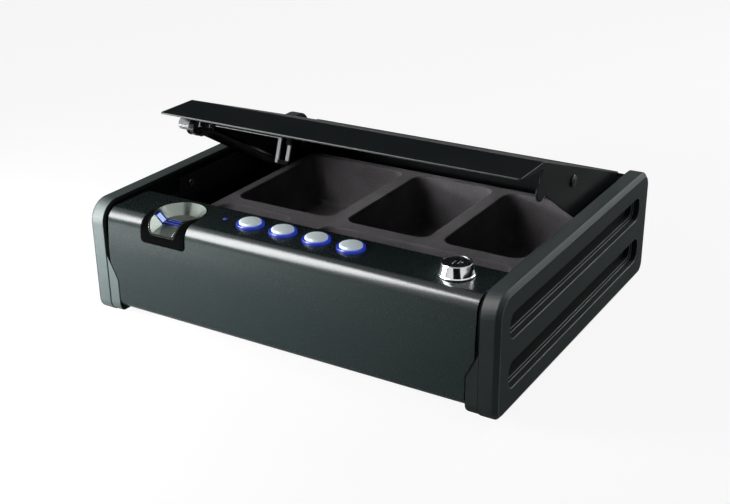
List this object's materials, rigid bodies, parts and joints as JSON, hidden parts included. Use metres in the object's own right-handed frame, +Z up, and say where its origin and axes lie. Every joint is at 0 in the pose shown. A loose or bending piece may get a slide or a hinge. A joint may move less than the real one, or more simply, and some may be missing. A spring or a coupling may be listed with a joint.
{
  "type": "portable car safe",
  "caption": "Low steel box safe with moulded ends, a front housing with finger reader, lit buttons and key lock, a hinged folded lid and a lift-out tray.",
  "frame": {"origin": "on the floor under the middle of the safe", "axes": "+X to the right as seen from the front, +Y to the back where the lid is hinged, +Z up"},
  "size_m": [0.307, 0.25, 0.1322],
  "materials": {
    "panel": "moulded dark grey-green with a fine grain",
    "housing": "satin charcoal with a slight green tint",
    "steel": "dark powder-coated sheet",
    "lid": "satin near-black powder coat",
    "seal": "black soft strip",
    "bezel": "dark satin plastic",
    "dish": "satin metallic grey",
    "window": "dark tinted sensor window",
    "glow": "blue lit plastic",
    "button": "satin light grey cap",
    "board": "green circuit board",
    "holder": "black moulded plastic",
    "cell": "printed metal sleeve without text",
    "chrome": "bright chrome plate",
    "black": "black",
    "brass": "turned brass",
    "zinc": "bright zinc-plated steel",
    "stay": "black enamelled tube",
    "velour": "charcoal velour skin",
    "mat": "dark felt",
    "rubber": "black rubber"
  },
  "bodies": {
    "safe": {"end_panel_left": "panel", "end_panel_right": "panel", "control_housing": "housing", "steel_box": "steel", "end_seal_left": "seal", "end_seal_right": "seal", "reader_bezel": "bezel", "reader_dish": "dish", "reader_window": "window", "reader_light_strip": "glow", "reader_light_tile": "glow", "status_lamp": "glow", "button_ring_1": "glow", "battery_1": "cell", "button_ring_2": "glow", "battery_2": "cell", "button_ring_3": "glow", "battery_3": "cell", "button_ring_4": "glow", "battery_4": "cell", "circuit_board": "board", "battery_holder": "holder", "lock_ring": "chrome", "lock_barrel": "brass", "lock_nut": "brass", "solenoid": "black", "latch_spring": "zinc", "latch_bridge": "zinc", "hinge_pin_left": "zinc", "hinge_pin_right": "zinc", "stay_bracket": "zinc", "wall_screw_left_front": "zinc", "wall_screw_left_rear": "zinc", "wall_screw_right_front": "zinc", "wall_screw_right_rear": "zinc", "floor_mat": "mat", "foot_front_left": "rubber", "foot_front_right": "rubber", "foot_rear_left": "rubber", "foot_rear_right": "rubber"},
    "lid": {"lid_shell": "lid", "lid_inner_pan": "lid", "arm_rivet_left": "zinc", "arm_rivet_right": "zinc", "hinge_arm_left": "zinc", "hinge_arm_right": "zinc", "lid_striker": "zinc", "stay_stud_lid": "chrome"},
    "stay_cylinder": {"stay_tube": "stay"},
    "stay_piston": {"stay_rod": "chrome"},
    "button_cap_1": {"button_1": "button"},
    "button_cap_2": {"button_2": "button"},
    "button_cap_3": {"button_3": "button"},
    "button_cap_4": {"button_4": "button"},
    "key_plug": {"lock_plug": "black", "lock_cam": "zinc"},
    "release_slide": {"release_bar": "zinc"},
    "bolt": {"latch_bolt": "zinc"},
    "lift_out_tray": {"tray": "velour"},
    "cell_door": {"battery_door": "holder"}
  },
  "joints": [
    {"name": "lid_hinge", "type": "hinge", "parent": "safe", "child": "lid", "pos_m": [0, 0.1044, 0.0586], "axis": [-1, 0, 0], "range_deg": [-19.9, 25]},
    {"name": "stay_turn", "type": "hinge", "parent": "lid", "child": "stay_cylinder", "pos_m": [-0.1286, -0.03202, 0.11362], "axis": [-1, 0, 0], "range_deg": [-1, 1]},
    {"name": "stay_slide", "type": "slide", "parent": "stay_cylinder", "child": "stay_piston", "axis": [0, 0.8594, -0.5112], "range_m": [-0.0084, 0.0105]},
    {"name": "button_press_1", "type": "slide", "parent": "safe", "child": "button_cap_1", "axis": [0, 0, -1], "range_m": [0, 0.0012], "stiffness_N_per_m": 600, "springref_m": -0.0008},
    {"name": "button_press_2", "type": "slide", "parent": "safe", "child": "button_cap_2", "axis": [0, 0, -1], "range_m": [0, 0.0012], "stiffness_N_per_m": 600, "springref_m": -0.0008},
    {"name": "button_press_3", "type": "slide", "parent": "safe", "child": "button_cap_3", "axis": [0, 0, -1], "range_m": [0, 0.0012], "stiffness_N_per_m": 600, "springref_m": -0.0008},
    {"name": "button_press_4", "type": "slide", "parent": "safe", "child": "button_cap_4", "axis": [0, 0, -1], "range_m": [0, 0.0012], "stiffness_N_per_m": 600, "springref_m": -0.0008},
    {"name": "key_turn", "type": "hinge", "parent": "safe", "child": "key_plug", "pos_m": [0.1124, -0.098, 0.0626], "axis": [0, 0, -1], "range_deg": [0, 56]},
    {"name": "release_slide_move", "type": "slide", "parent": "safe", "child": "release_slide", "axis": [1, 0, 0], "range_m": [0, 0.00845]},
    {"name": "bolt_draw", "type": "slide", "parent": "safe", "child": "bolt", "axis": [0, -1, 0], "range_m": [0, 0.0051], "deforming": ["latch_spring"]},
    {"name": "tray_lift", "type": "slide", "parent": "safe", "child": "lift_out_tray", "axis": [0, 0, 1], "range_m": [0, 0.018]},
    {"name": "door_lift", "type": "slide", "parent": "safe", "child": "cell_door", "axis": [0, 0, 1], "range_m": [0, 0.018]}
  ],
  "couplings": [
    {"joint": "stay_turn", "follows": "lid_hinge", "ratio": 0.021},
    {"joint": "stay_slide", "follows": "lid_hinge", "m_per_rad": 0.02289},
    {"joint": "key_turn", "follows": "release_slide_move", "rad_per_m": 115.66},
    {"joint": "bolt_draw", "follows": "release_slide_move", "ratio": 0.59168}
  ]
}
